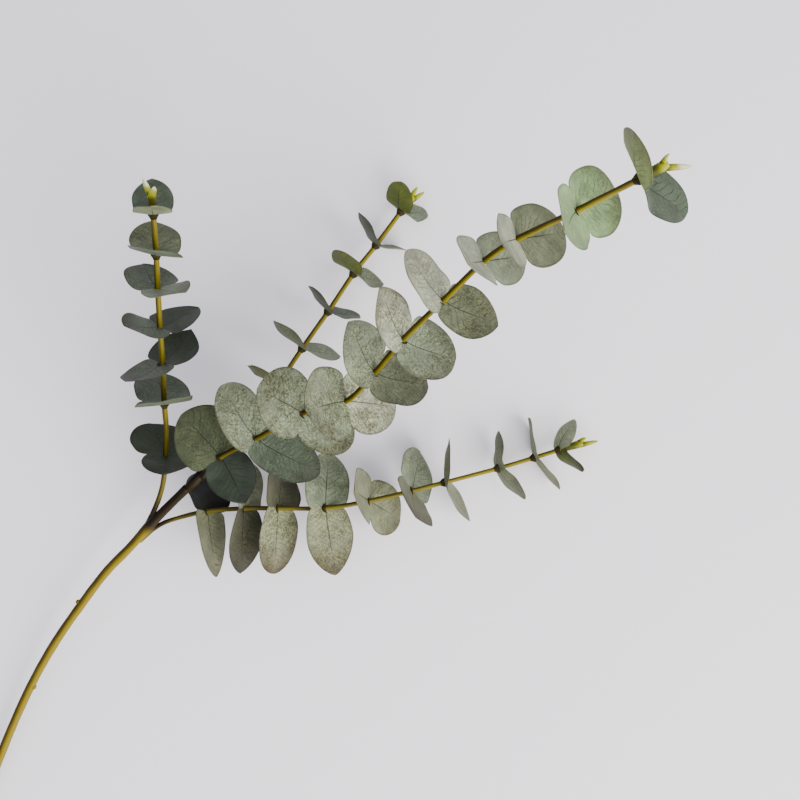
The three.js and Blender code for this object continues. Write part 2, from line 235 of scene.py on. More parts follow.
# How each pair looks: (tone, freckles, dusk) of leaf a, then of leaf b. Freckles run from 0,
# clear, to 1, heavily freckled, and dusk from 0 to 1 for how far a leaf darkens to its tip.
LOOKS = {
    "left": [
        (("shade", 0.4, 0.6), ("shade", 0.4, 0.3)), (("slate", 0.3, 0.3), ("slate", 0.4, 0.4)),
        (("slate", 0.5, 0.8), ("shade", 0.4, 0.3)), (("slate", 0.5, 0.7), ("shade", 0.5, 0.0)),
        (("sage", 0.3, 0.6), ("slate", 0.5, 0.6)), (("slate", 0.2, 0.0), ("moss", 0.5, 0.3)),
        (("sage", 0.1, 0.4), ("slate", 0.3, 0.2)),
    ],
    "lower": [
        # The first pair's leaf a is painted near black as painted shadow.
        (("painted_shadow_black", 0.0, 0.0), ("khaki", 0.3, 0.4)), (("straw", 0.2, 0.3), ("umber", 0.7, 0.8)),
        (("umber", 0.4, 0.8), ("straw", 0.9, 1.0)), (("sage", 0.5, 0.3), ("straw", 0.8, 0.8)),
        (("straw", 0.3, 0.3), ("straw", 0.5, 0.7)), (("khaki", 0.3, 0.7), ("sage", 0.5, 0.3)),
        (("straw", 0.3, 0.5), ("straw", 0.3, 0.5)), (("moss", 0.3, 0.4), ("moss", 0.3, 0.4)),
        (("sage", 0.3, 0.2), ("straw", 0.3, 0.3)), (("silver", 0.2, 0.0), ("olive", 0.1, 0.9)),
    ],
    "middle": [
        (("olive", 0.3, 0.3), ("sage", 0.3, 0.3)), (("moss", 0.3, 0.3), ("sage", 0.3, 0.2)),
        (("fern", 0.2, 0.3), ("slate", 0.3, 0.0)), (("olive", 0.2, 0.2), ("sage", 0.3, 0.4)),
        (("fern", 0.2, 0.3), ("sage", 0.2, 0.3)), (("olive", 0.1, 0.1), ("sage", 0.1, 0.1)),
    ],
    "upper": [
        (("fern", 0.5, 0.3), ("pine", 0.2, 0.2)), (("sage", 0.8, 0.4), ("slate", 0.6, 0.5)),
        (("sage", 1.0, 0.5), ("sage", 0.9, 0.7)), (("sage", 1.0, 0.5), ("silver", 1.0, 0.5)),
        (("sage", 0.8, 0.3), ("moss", 0.7, 0.4)), (("silver", 0.8, 0.7), ("sage", 0.7, 0.5)),
        (("silver", 0.5, 0.4), ("moss", 0.7, 0.4)), (("silver", 0.3, 0.2), ("sage", 0.4, 0.4)),
        (("silver", 0.2, 0.5), ("moss", 0.4, 0.3)), (("mint", 0.1, 0.3), ("mint", 0.4, 0.6)),
        (("mint", 0.2, 0.5), ("slate", 0.4, 0.0)),
    ],
}

# What a leaf's marks, and old bark, multiply the colour under them by.
GROUND = "#b3afa3"
VEIN = "#3f452f"
DUSK = "#866d50"
BARE_RIM = "#6a604c"
OLD_TINT = "#564a2c"

# Pointedness, cup and bow of a leaf whose row gives none.
PLAIN_LEAF = (0, 0.1, 0)

# Grid sizes of the surfaces.
LEAF_STATIONS = 26
LEAF_COLUMNS = 19
STEM_SIDES = 28
SPRIG_SIDES = 20
COLLAR_SIDES = 24
COLLAR_RINGS = 10
KNUCKLE_RINGS = 24
STUB_SIDES = 16
STUB_RINGS = 12
BUD_SIDES = 24
BUD_RINGS = 24
PRONG_SIDES = 16
PRONG_RINGS = 24

# Points at which a stem's route is measured.
ROUTE_PROBES = 2000


def linear(code):
    """The linear RGBA of an sRGB hex colour."""
    parts = [int(code[i:i + 2], 16) / 255 for i in (1, 3, 5)]
    return [c / 12.92 if c <= 0.04045 else ((c + 0.055) / 1.055) ** 2.4 for c in parts] + [1.0]


def unit(vectors):
    """Each vector of the last axis divided by its length."""
    return vectors / np.linalg.norm(vectors, axis=-1, keepdims=True)


def dot(a, b):
    """Dot product along the last axis, kept as a column."""
    return np.sum(a * b, axis=-1, keepdims=True)


def smoothstep(x, low, high):
    """0 below low, 1 above high, and 3x2 - 2x3 of the share between."""
    share = np.clip((x - low) / (high - low), 0, 1)
    return share * share * (3 - 2 * share)


def along_route(route, t):
    """Point and unit tangent at t, from 0 to 1, of the uniform Catmull-Rom curve through
    the route: between two points it is the cubic whose end slopes are half the chord
    between their neighbours, with the first and last points mirrored past the ends."""
    p = np.asarray(route, float)
    p = np.vstack([2 * p[0] - p[1], p, 2 * p[-1] - p[-2]])
    x = np.clip(np.asarray(t, float), 0, 1) * (len(route) - 1)
    i = np.minimum(x.astype(int), len(route) - 2)
    w = (x - i)[..., None]
    before, start, end, after = p[i], p[i + 1], p[i + 2], p[i + 3]
    slope_in, slope_out = 0.5 * (end - before), 0.5 * (after - start)
    a = 2 * start - 2 * end + slope_in + slope_out
    b = -3 * start + 3 * end - 2 * slope_in - slope_out
    point = ((a * w + b) * w + slope_in) * w + start
    return point, unit((3 * a * w + 2 * b) * w + slope_in)


def level_axes(tangent):
    """Two unit vectors square to the tangent: its level left side, Z x tangent, and the
    direction up from it, tangent x side."""
    side = unit(np.cross(np.broadcast_to([0.0, 0.0, 1.0], tangent.shape), tangent))
    return side, np.cross(tangent, side)


def outward(tangent, angle):
    """Unit vector square to the tangent: cos(angle) of its left side plus sin(angle) of up."""
    side, up = level_axes(tangent)
    turn = math.radians(angle)
    return math.cos(turn) * side + math.sin(turn) * up


def turn_about(vector, axis, degrees):
    """The vector turned about a unit axis by Rodrigues' formula."""
    c, s = math.cos(math.radians(degrees)), math.sin(math.radians(degrees))
    return vector * c + np.cross(axis, vector) * s + axis * dot(axis, vector) * (1 - c)


def grid_faces(rows, cols, first=0, wrap=False):
    """Quads of a rows x cols grid of vertices that starts at index first. With wrap, the
    last column joins the first."""
    i = np.arange(rows - 1)[:, None]
    j = np.arange(cols if wrap else cols - 1)[None, :]
    k = (j + 1) % cols
    row, after = i * cols, (i + 1) * cols
    corners = np.broadcast_arrays(row + j, row + k, after + k, after + j)
    return np.stack(corners, axis=-1).reshape(-1, 4) + first


def tube(centres, tangents, radii, sides):
    """A closed tube: around each centre, a ring of radius r (a number, or one for each
    side) in the plane square to its tangent, or to the one given for all, and a pole at
    each end."""
    tangents = np.broadcast_to(tangents, centres.shape)
    angle = np.linspace(0, 2 * np.pi, sides, endpoint=False)
    side, up = level_axes(tangents)
    spoke = np.cos(angle)[None, :, None] * side[:, None] + np.sin(angle)[None, :, None] * up[:, None]
    radii = np.broadcast_to(np.asarray(radii).reshape(len(centres), -1), (len(centres), sides))
    rings = centres[:, None] + spoke * radii[..., None]
    verts = np.vstack([rings.reshape(-1, 3), centres[:1], centres[-1:]])
    n = len(centres)
    side_faces = grid_faces(n, sides, wrap=True).tolist()
    j = np.arange(sides)
    k = (j + 1) % sides
    start_fan = np.stack([np.full(sides, n * sides), k, j], axis=1)
    base = (n - 1) * sides
    end_fan = np.stack([np.full(sides, n * sides + 1), base + j, base + k], axis=1)
    return verts, side_faces + start_fan.tolist() + end_fan.tolist()


def combine(parts):
    """Several (vertices, faces) joined in one of each, the faces renumbered."""
    verts, faces, offset = [], [], 0
    for v, f in parts:
        verts.append(v)
        faces.extend([[q + offset for q in face] for face in f])
        offset += len(v)
    return np.vstack(verts), faces


def add_piece(name, verts_mm, faces, materials, node):
    """Makes the mesh object, in metres in the frame, that stands for one CAD node."""
    mesh = bpy.data.meshes.new(name)
    mesh.from_pydata(((verts_mm - ORIGIN) * MM).tolist(), [], faces)
    mesh.polygons.foreach_set("use_smooth", np.full(len(mesh.polygons), True))
    for material in materials:
        mesh.materials.append(material)
    mesh.update()
    piece = bpy.data.objects.new(name, mesh)
    bpy.context.scene.collection.objects.link(piece)
    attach(piece, "root")
    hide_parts(node)
    return piece


def set_scalar(mesh, name, values):
    """Stores one number for each vertex as an attribute."""
    layer = mesh.attributes.new(name, "FLOAT", "POINT")
    layer.data.foreach_set("value", np.asarray(values, np.float32))


def set_colour(mesh, name, values):
    """Stores one RGBA colour for each vertex as an attribute."""
    layer = mesh.attributes.new(name, "FLOAT_COLOR", "POINT")
    layer.data.foreach_set("color", np.asarray(values, np.float32).ravel())


def set_uv(mesh, name, values):
    """Stores a UV map from one pair of numbers for each vertex."""
    corner = np.empty(len(mesh.loops), np.int32)
    mesh.loops.foreach_get("vertex_index", corner)
    layer = mesh.uv_layers.new(name=name)
    layer.data.foreach_set("uv", np.asarray(values, np.float32)[corner].ravel())


def set_sharp(mesh, marked):
    """Marks as sharp each edge whose two ends are marked with the same number above 0."""
    ends = np.empty(2 * len(mesh.edges), np.int32)
    mesh.edges.foreach_get("vertices", ends)
    ends = ends.reshape(-1, 2)
    sharp = (marked[ends[:, 0]] > 0) & (marked[ends[:, 0]] == marked[ends[:, 1]])
    layer = mesh.attributes.new("sharp_edge", "BOOLEAN", "EDGE")
    layer.data.foreach_set("value", sharp)


def add_node(tree, kind, settings=None, links=None, location=(0, 0)):
    """Adds a node, sets its properties or its inputs' values, and links sockets to its inputs."""
    node = tree.nodes.new(kind)
    node.location = location
    for key, value in (settings or {}).items():
        if isinstance(key, int) or key in node.inputs:
            node.inputs[key].default_value = value
        else:
            setattr(node, key, value)
    for key, socket in (links or {}).items():
        tree.links.new(socket, node.inputs[key])
    return node


def new_material(name):
    """A node material with its output and principled shader, and its tree and that shader."""
    material = bpy.data.materials.new(name)
    material.use_nodes = True
    tree = material.node_tree
    tree.nodes.clear()
    shader = add_node(tree, "ShaderNodeBsdfPrincipled", location=(900, 0))
    surface = {"Surface": shader.outputs["BSDF"]}
    add_node(tree, "ShaderNodeOutputMaterial", links=surface, location=(1200, 0))
    return material, tree, shader


def calculate(tree, operation, *values):
    """The output of a Math node whose inputs are numbers or sockets."""
    settings = {"operation": operation}
    links = {}
    for i, value in enumerate(values):
        if isinstance(value, (int, float)):
            settings[i] = value
        else:
            links[i] = value
    return add_node(tree, "ShaderNodeMath", settings, links).outputs[0]


def remap(tree, value, low, high, out_low, out_high):
    """The value eased from (low, high) to (out_low, out_high)."""
    settings = {"interpolation_type": "SMOOTHSTEP", 1: low, 2: high, 3: out_low, 4: out_high}
    return add_node(tree, "ShaderNodeMapRange", settings, {0: value}).outputs[0]


def blend_colour(tree, factor, a, b, mode="MIX"):
    """A colour blended from a to b, each a socket or a hex colour."""
    settings = {"data_type": "RGBA", "blend_type": mode}
    links = {}
    for index, value in ((0, factor), (6, a), (7, b)):
        if isinstance(value, str):
            settings[index] = linear(value)
        elif isinstance(value, (int, float)):
            settings[index] = value
        else:
            links[index] = value
    return add_node(tree, "ShaderNodeMix", settings, links).outputs[2]


def noise(tree, place, size, detail):
    """A noise of 0 to 1 whose patches are about size mm across, on metre coordinates."""
    settings = {"Scale": 1.0 / (size * MM), "Detail": detail, "Roughness": 0.55}
    return add_node(tree, "ShaderNodeTexNoise", settings, {"Vector": place}).outputs[0]


# Leaves.


def half_width(s, point):
    """Half a leaf's width as a share of its widest: from WAIST at the sprig it follows a
    quarter ellipse to the belly at WIDEST_AT, and from there (1 - x^2.1)^p to the tip, where
    p is 0.56 for a round tip and grows by 0.34 with each unit of its pointedness."""
    rest = np.clip((WIDEST_AT - s) / WIDEST_AT, 0, 1)
    past = np.clip((s - WIDEST_AT) / (1 - WIDEST_AT), 0, 1)
    inner = WAIST + (1 - WAIST) * np.sqrt(1 - rest * rest)
    return np.where(s < WIDEST_AT, inner, (1 - past ** 2.1) ** (0.56 + 0.34 * point))


def leaf_frame(tangent, angle, lean, twist):
    """Direction and face normal of a leaf: square to the sprig at the angle round it,
    leaned to the tip, then turned about its own midrib by the twist."""
    out = outward(tangent, angle)
    tilt = math.radians(lean)
    along = math.cos(tilt) * out + math.sin(tilt) * tangent
    face = math.cos(tilt) * tangent - math.sin(tilt) * out
    return along, turn_about(face, along, twist)


def leaf_grid(node, start, shared, leaf_axes, leaf, forward, ripple, phase):
    """One leaf's middle surface on a grid of share along (0 at the sprig) by share across
    (-1 to 1). The midrib is the cubic curve node, node + INNER_HANDLE start, node +
    OUTER_HANDLE along + bow x face, node + along, in leaf lengths. Across it a point moves
    by the half width, lifts by cup x half width x |v|^1.5, and waves by ripple x v^2 x a
    sine of the share along."""
    along, own_face = leaf_axes
    length, width = leaf[2:4]
    point, cup, bow = leaf[4:] + PLAIN_LEAF[len(leaf) - 4:]
    k = np.linspace(0, 1, LEAF_STATIONS)
    s = LAST_ROW * 0.5 * (1 - np.cos(np.pi * k))
    v = np.linspace(-1, 1, LEAF_COLUMNS)
    p0, p1 = node, node + INNER_HANDLE * length * start
    p2, p3 = node + length * (OUTER_HANDLE * along + bow * own_face), node + length * along
    w = s[:, None]
    u = 1 - w
    centre = u ** 3 * p0 + 3 * u ** 2 * w * p1 + 3 * u * w ** 2 * p2 + w ** 3 * p3
    slope = 3 * u ** 2 * (p1 - p0) + 6 * u * w * (p2 - p1) + 3 * w ** 2 * (p3 - p2)
    run = unit(slope) * forward
    ease = smoothstep(w, 0, TURNED_BY)
    face = shared * (1 - ease) + own_face * ease
    face = unit(face - run * dot(face, run))
    across = np.cross(face, run)
    half = 0.5 * width * half_width(s, point)
    lift = cup * half[:, None] * np.abs(v) ** 1.5
    wave = ripple * smoothstep(s, 0.05, 0.5)[:, None] * v ** 2
    wave = wave * np.sin(2 * np.pi * (RIM_WAVES * s[:, None] + phase) + np.pi * (v > 0))
    place = centre[:, None] + across[:, None] * (v * half[:, None])[..., None]
    place = place + face[:, None] * (lift + wave)[..., None]
    share = np.stack(np.broadcast_arrays(v, s[:, None]), axis=-1)
    sizes = np.stack(np.broadcast_arrays(v * half[:, None], s[:, None] * length), axis=-1)
    return place, np.broadcast_to(face[:, None], place.shape), share, sizes


def blade(node, tangent, pair, thickness, ripple, seed):
    """A pair of leaves as one closed sheet from tip to tip through the sprig, its half
    thickness at the rim half of that at the midrib. It returns vertices, faces, and for
    each vertex its share and size coordinates, which leaf it is on, whether it is on the
    upper face, and its rim loop."""
    _, roll, swing, leaf_a, leaf_b = pair
    axes_a = leaf_frame(tangent, roll, leaf_a[0], leaf_a[1])
    axes_b = leaf_frame(tangent, roll + 180 + swing, leaf_b[0], leaf_b[1])
    run = unit(axes_b[0] - axes_a[0])
    shared = axes_a[1] + axes_b[1]
    shared = unit(shared - run * dot(shared, run))
    grid_a = leaf_grid(node, -run, shared, axes_a, leaf_a, -1, ripple, seed)
    grid_b = leaf_grid(node, run, shared, axes_b, leaf_b, 1, ripple, seed + LEAF_B_PHASE)
    joined = [np.concatenate([ga[::-1], gb[1:]]) for ga, gb in zip(grid_a, grid_b)]
    point, face, share, sizes = joined
    rows, cols = point.shape[:2]
    half_thick = 0.5 * thickness * (1 - 0.5 * np.abs(share[..., :1]) ** 8)
    top = point + face * half_thick
    under = point - face * half_thick
    verts = np.vstack([top.reshape(-1, 3), under.reshape(-1, 3)])
    n = rows * cols
    top_faces = grid_faces(rows, cols)[:, ::-1]
    under_faces = grid_faces(rows, cols, first=n)
    i = np.arange(rows - 1) * cols
    j = np.arange(cols - 1)
    last = (rows - 1) * cols
    side = np.stack([i, i + cols, i + cols + n, i + n], axis=1)
    tip = np.stack([j, j + 1, j + 1 + n, j + n], axis=1)
    rims = [side[:, ::-1], side + cols - 1, tip, tip[:, ::-1] + last]
    faces = np.vstack([top_faces, under_faces] + rims).tolist()
    edge = np.zeros((rows, cols), int)
    edge[[0, -1]] = 1
    edge[:, [0, -1]] = 1
    rim = np.concatenate([edge.ravel(), 2 * edge.ravel()])
    on_b = np.broadcast_to((np.arange(rows) >= LEAF_STATIONS)[:, None], (rows, cols)).ravel()
    return {
        "verts": verts,
        "faces": faces,
        "share": np.tile(share.reshape(-1, 2), (2, 1)),
        "sizes": np.tile(sizes.reshape(-1, 2), (2, 1)),
        "leaf_b": np.tile(on_b, 2),
        "upper": np.arange(2 * n) < n,
        "rim": rim,
    }


def collar(node, tangent, radius):
    """The short flared collar under a pair, a profile turned round the sprig. Its radius is
    the stem's + COLLAR_GAP + (COLLAR_WALL + COLLAR_FLARE) x a quarter sine to the power 1.6."""
    height = np.linspace(-1.2 * COLLAR_HEIGHT, -0.1, COLLAR_RINGS)
    share = (height - height[0]) / (height[-1] - height[0])
    rise = np.sin(0.5 * np.pi * share) ** 1.6
    flare = radius + COLLAR_GAP + (COLLAR_WALL + COLLAR_FLARE) * rise
    centres = node + height[:, None] * tangent
    return tube(centres, tangent, flare, COLLAR_SIDES)


def waxy_leaf_material(settings):
    """Eucalyptus leaf with its natural wax bloom: matt, with a dark midrib and side veins
    that leave it in pairs, a pale net of freckles on duller ground, a brown dusk towards
    the tip, and a dull darker rim."""
    material, tree, shader = new_material("waxy_eucalyptus_leaf")
    tone = add_node(tree, "ShaderNodeAttribute", {"attribute_name": "tone"}).outputs["Color"]
    speckle = add_node(tree, "ShaderNodeAttribute", {"attribute_name": "speckle"}).outputs["Fac"]
    dusk = add_node(tree, "ShaderNodeAttribute", {"attribute_name": "dusk"}).outputs["Fac"]
    place = add_node(tree, "ShaderNodeTexCoord").outputs["Object"]
    sizes = add_node(tree, "ShaderNodeUVMap", {"uv_map": "leaf_mm"}).outputs["UV"]
    shares = add_node(tree, "ShaderNodeUVMap", {"uv_map": "leaf_share"}).outputs["UV"]
    size = add_node(tree, "ShaderNodeSeparateXYZ", links={0: sizes})
    share = add_node(tree, "ShaderNodeSeparateXYZ", links={0: shares})
    across = calculate(tree, "ABSOLUTE", size.outputs[0])
    length = size.outputs[1]
    rim = calculate(tree, "ABSOLUTE", share.outputs[0])

    # The wax lies unevenly: brighter and darker patches about 9 mm across, and a fine grain.
    blotch = noise(tree, place, 9.0, 3.0)
    grain = noise(tree, place, 0.9, 2.0)
    colour = blend_colour(tree, 1.0, tone, remap(tree, blotch, 0.3, 0.7, 0.78, 1.24), "MULTIPLY")
    colour = blend_colour(tree, 1.0, colour, remap(tree, grain, 0.3, 0.7, 0.9, 1.1), "MULTIPLY")

    # Freckles: a pale net of short crooked lines on a duller ground, its pattern sized by
    # freckle_size and both strongest where a wider noise lets them.
    fine = noise(tree, place, settings.freckle_size, 2.5)
    wide = noise(tree, place, 14.0, 2.0)
    crooked = calculate(tree, "ABSOLUTE", calculate(tree, "SUBTRACT", fine, 0.5))
    line = remap(tree, crooked, 0.0, 0.09, 1.0, 0.0)
    field = calculate(tree, "MULTIPLY", remap(tree, wide, 0.35, 0.6, 0.35, 1.0), speckle)
    colour = blend_colour(tree, field, colour, GROUND, "MULTIPLY")
    net = calculate(tree, "MULTIPLY", line, field)
    colour = blend_colour(tree, 1.0, colour, remap(tree, net, 0.0, 1.0, 0.8, 1.95), "MULTIPLY")

    # Dusk: the leaf darkens and browns towards its tip, along an uneven front.
    front = calculate(tree, "MULTIPLY", calculate(tree, "SUBTRACT", wide, 0.5), 0.7)
    outer = calculate(tree, "MULTIPLY", calculate(tree, "POWER", rim, 2.0), 0.25)
    front = calculate(tree, "ADD", calculate(tree, "ADD", share.outputs[1], outer), front)
    shadow = calculate(tree, "MULTIPLY", remap(tree, front, 0.3, 1.15, 0.0, 1.0), dusk)
    colour = blend_colour(tree, shadow, colour, DUSK, "MULTIPLY")

    # Side veins slant from the midrib to the tip and waver; the midrib fades towards the tip.
    waver = calculate(tree, "SUBTRACT", noise(tree, place, 11.0, 1.5), 0.5)
    climb = calculate(tree, "MULTIPLY", calculate(tree, "POWER", across, 0.85), 0.95)
    phase = calculate(tree, "SUBTRACT", length, climb)
    phase = calculate(tree, "ADD", phase, calculate(tree, "MULTIPLY", waver, 11.0))
    phase = calculate(tree, "FRACT", calculate(tree, "DIVIDE", phase, settings.vein_spacing))
    beside = calculate(tree, "ABSOLUTE", calculate(tree, "SUBTRACT", phase, 0.5))
    side_vein = remap(tree, beside, 0.0, 0.13, 0.62, 0.0)
    side_vein = calculate(tree, "MULTIPLY", side_vein, remap(tree, rim, 0.45, 0.9, 1.0, 0.0))
    side_vein = calculate(tree, "MULTIPLY", side_vein, remap(tree, blotch, 0.35, 0.65, 0.4, 1.0))
    midrib = remap(tree, across, 0.15, 0.6, 0.85, 0.0)
    midrib = calculate(tree, "MULTIPLY", midrib, remap(tree, share.outputs[1], 0.45, 0.95, 1.0, 0.0))
    veins = calculate(tree, "MAXIMUM", side_vein, midrib)
    colour = blend_colour(tree, veins, colour, VEIN, "MULTIPLY")

    # The rim has lost its wax: thin, darker and browner.
    colour = blend_colour(tree, remap(tree, rim, 0.9, 1.0, 0.0, 0.5), colour, BARE_RIM, "MULTIPLY")

    relief = calculate(tree, "SUBTRACT", calculate(tree, "MULTIPLY", fine, 0.3), veins)
    bump = add_node(tree, "ShaderNodeBump", {"Strength": 0.5, "Distance": 0.0004}, {"Height": relief})
    tree.links.new(colour, shader.inputs["Base Color"])
    tree.links.new(bump.outputs[0], shader.inputs["Normal"])
    tree.links.new(remap(tree, blotch, 0.3, 0.7, 0.55, 0.7), shader.inputs["Roughness"])
    shader.inputs["IOR"].default_value = 1.45
    shader.inputs["Specular IOR Level"].default_value = 0.3
    shader.inputs["Sheen Weight"].default_value = 0.03
    shader.inputs["Sheen Roughness"].default_value = 0.5
    return material


def stem_material(name, dark, light, shine):
    """Smooth bark of a young shoot with painted light and shade: painted lit olive yellow on the
    side that faces the painted light's direction and painted shaded dark brown on the other,
    darker brown where it's old, with fine lengthwise streaks about 1 mm wide and a soft gloss."""
    material, tree, shader = new_material(name)
    painted_light = add_node(tree, "ShaderNodeAttribute", {"attribute_name": "painted_light"}).outputs["Fac"]
    ring = add_node(tree, "ShaderNodeUVMap", {"uv_map": "stem_mm"}).outputs["UV"]
    place = add_node(tree, "ShaderNodeTexCoord").outputs["Object"]
    drawn = add_node(tree, "ShaderNodeMapping", {"Scale": (1.0, 0.06, 1.0)}, {"Vector": ring}).outputs[0]
    grain = {"Scale": 1.1, "Detail": 3.0}
    streak = add_node(tree, "ShaderNodeTexNoise", grain, {"Vector": drawn}).outputs[0]
    patch = noise(tree, place, 11.0, 2.0)
    # Painted light and shade: the lit side leans to the light colour and the shaded side to the dark,
    # broken up by streaks and patches.
    mixed = painted_light
    for pattern, weight in ((streak, 0.35), (patch, 0.25)):
        swing = calculate(tree, "MULTIPLY", calculate(tree, "SUBTRACT", pattern, 0.5), weight)
        mixed = calculate(tree, "ADD", mixed, swing)
    colour = blend_colour(tree, remap(tree, mixed, 0.3, 0.85, 0.0, 1.0), dark, light)
    old = add_node(tree, "ShaderNodeAttribute", {"attribute_name": "old"}).outputs["Fac"]
    colour = blend_colour(tree, old, colour, OLD_TINT, "MULTIPLY")
    bump = add_node(tree, "ShaderNodeBump", {"Strength": 0.3, "Distance": 0.0003}, {"Height": streak})
    tree.links.new(colour, shader.inputs["Base Color"])
    tree.links.new(bump.outputs[0], shader.inputs["Normal"])
    shader.inputs["Roughness"].default_value = shine
    shader.inputs["IOR"].default_value = 1.46
    shader.inputs["Specular IOR Level"].default_value = 0.15
    return material


def collar_material():
    """The woody seat of a leaf pair, dark olive brown and dull."""
    material, tree, shader = new_material("woody_leaf_seat")
    place = add_node(tree, "ShaderNodeTexCoord").outputs["Object"]
    grain = remap(tree, noise(tree, place, 1.7, 2.0), 0.3, 0.7, 0.0, 1.0)
    tree.links.new(blend_colour(tree, grain, "#1c190a", "#332e14"), shader.inputs["Base Color"])
    shader.inputs["Roughness"].default_value = 0.7
    shader.inputs["Specular IOR Level"].default_value = 0.1
    return material


def bud_material():
    """Soft new growth: olive where it leaves the stem, bright yellow-green at the opening,
    and nearly white at the thin lips of its scales."""
    material, tree, shader = new_material("fresh_leaf_bud")
    pale = add_node(tree, "ShaderNodeAttribute", {"attribute_name": "pale"}).outputs["Fac"]
    place = add_node(tree, "ShaderNodeTexCoord").outputs["Object"]
    grain = remap(tree, noise(tree, place, 2.0, 3.0), 0.3, 0.7, 0.0, 1.0)
    colour = blend_colour(tree, grain, "#3a3c04", "#4a4c08")
    colour = blend_colour(tree, remap(tree, pale, 0.0, 0.45, 0.0, 1.0), colour, "#8f9214")
    colour = blend_colour(tree, remap(tree, pale, 0.5, 1.0, 0.0, 1.0), colour, "#e6ead2")
    tree.links.new(colour, shader.inputs["Base Color"])
    shader.inputs["Roughness"].default_value = 0.45
    shader.inputs["Specular IOR Level"].default_value = 0.15
    return material


def cut_wood_material(centre):
    """The cut end: pale dry wood with faint growth rings 0.7 mm apart round the pith."""
    material, tree, shader = new_material("dry_cut_wood")
    place = add_node(tree, "ShaderNodeTexCoord").outputs["Object"]
    settings = {"operation": "DISTANCE", 1: tuple(centre)}
    away = add_node(tree, "ShaderNodeVectorMath", settings, {0: place}).outputs["Value"]
    wave = calculate(tree, "SINE", calculate(tree, "MULTIPLY", away, 2 * math.pi / (0.7 * MM)))
    ring = remap(tree, wave, -1.0, 1.0, 0.0, 1.0)
    tree.links.new(blend_colour(tree, ring, "#c9b88a", "#a78f5c"), shader.inputs["Base Color"])
    shader.inputs["Roughness"].default_value = 0.75
    return material


def floor_material(settings):
    """A smooth pale grey paint, quite matt."""
    material, tree, shader = new_material("matt_pale_paint")
    shader.inputs["Base Color"].default_value = tuple(settings.floor_colour) + (1.0,)
    shader.inputs["Roughness"].default_value = 0.9
    shader.inputs["Specular IOR Level"].default_value = 0.1
    return material


# Stems and buds.


def painted_light_share(normals):
    """How far a point of the bark is painted lit rather than shaded: half of 1 + its normal . the
    unit vector along the painted light's direction."""
    return 0.5 + 0.5 * (normals @ unit(np.array(PAINTED_LIGHT_DIRECTION)))


def bark_age(places):
    """How old the bark looks: 1 within OLD_CORE of the stretch between the two forks,
    falling smoothly to 0 at OLD_EDGE."""
    first, last = OLD_BARK
    run = last - first
    along = np.clip(((places - first) @ run) / (run @ run), 0, 1)
    away = np.linalg.norm(places - (first + along[:, None] * run), axis=1)
    return 1 - smoothstep(away, OLD_CORE, OLD_EDGE)


def vertex_places(mesh):
    """The mesh's vertices in the layout's millimetres, as an array."""
    places = np.empty(3 * len(mesh.vertices), np.float32)
    mesh.vertices.foreach_get("co", places)
    return places.reshape(-1, 3) / MM + ORIGIN


def vertex_normals(mesh):
    """The mesh's vertex normals as an array."""
    normals = np.empty(3 * len(mesh.vertices), np.float32)
    mesh.vertex_normals.foreach_get("vector", normals)
    return normals.reshape(-1, 3)


def stem_parts(route, radius, step, bumps, sides):
    """A stem's tube, flat at both ends, with its ring and length coordinates. Its radius is
    radius x (1 + 0.015 sine(distance / 7) + 0.01 sine(distance / 2.9) + a bell for each
    (share along, height, width) bump), in mm."""
    probe = np.linspace(0, 1, ROUTE_PROBES)
    dense, _ = along_route(route, probe)
    reach = np.concatenate([[0], np.cumsum(np.linalg.norm(np.diff(dense, axis=0), axis=1))])
    count = int(reach[-1] / step)
    distance = np.linspace(0, reach[-1], count)
    centres, tangents = along_route(route, np.interp(distance, reach, probe))
    swell = 1 + 0.015 * np.sin(distance / 7.0) + 0.01 * np.sin(distance / 2.9)
    for t, height, width in bumps:
        middle = np.interp(t, probe, reach)
        swell = swell + height * np.exp(-((distance - middle) / width) ** 2)
    verts, faces = tube(centres, tangents, radius * swell, sides)
    angle = np.linspace(0, 2 * np.pi * radius, sides, endpoint=False)
    ring = np.stack(np.broadcast_arrays(angle[None, :], distance[:, None]), axis=-1).reshape(-1, 2)
    ring = np.vstack([ring, [[0, 0], [0, distance[-1]]]])
    return verts, faces, ring


def finish_stem(piece, ring, root_age):
    """Gives a stem its ring coordinates, its painted lit and shaded sides, and how old its bark
    looks: by the forks, or if that's more, root_age at the stem's root falling evenly to 0 at its tip."""
    set_uv(piece.data, "stem_mm", ring)
    # Painted light: marks how far each point faces the painted light's direction.
    set_scalar(piece.data, "painted_light", painted_light_share(vertex_normals(piece.data)))
    along = 1 - ring[:, 1] / ring[:, 1].max()
    set_scalar(piece.data, "old", np.maximum(bark_age(vertex_places(piece.data)), root_age * along))


def knuckle(centre, direction, length, radius):
    """A swelling on the stem: a tube whose radius is r x (1 - x^2)^0.4 along its length."""
    axis = unit(np.array(direction, float))
    x = np.linspace(-0.999, 0.999, KNUCKLE_RINGS)
    centres = np.array(centre, float) + 0.5 * length * x[:, None] * axis
    radii = radius * (1 - x * x) ** 0.4
    return tube(centres, axis, radii, STEM_SIDES)


def stub(foot, direction, height, radius):
    """The stub of a lost twig: a short tube of radius r x (1 - x^6)^0.4 x (1 + half of
    (1 - x)^2), so it is broad at its foot."""
    axis = unit(np.array(direction, float))
    x = np.linspace(0, 0.999, STUB_RINGS)
    centres = np.array(foot, float) + height * x[:, None] * axis
    radii = radius * (1 - x ** 6) ** 0.4 * (1 + 0.5 * (1 - x) ** 2)
    return tube(centres, axis, radii, STUB_SIDES)


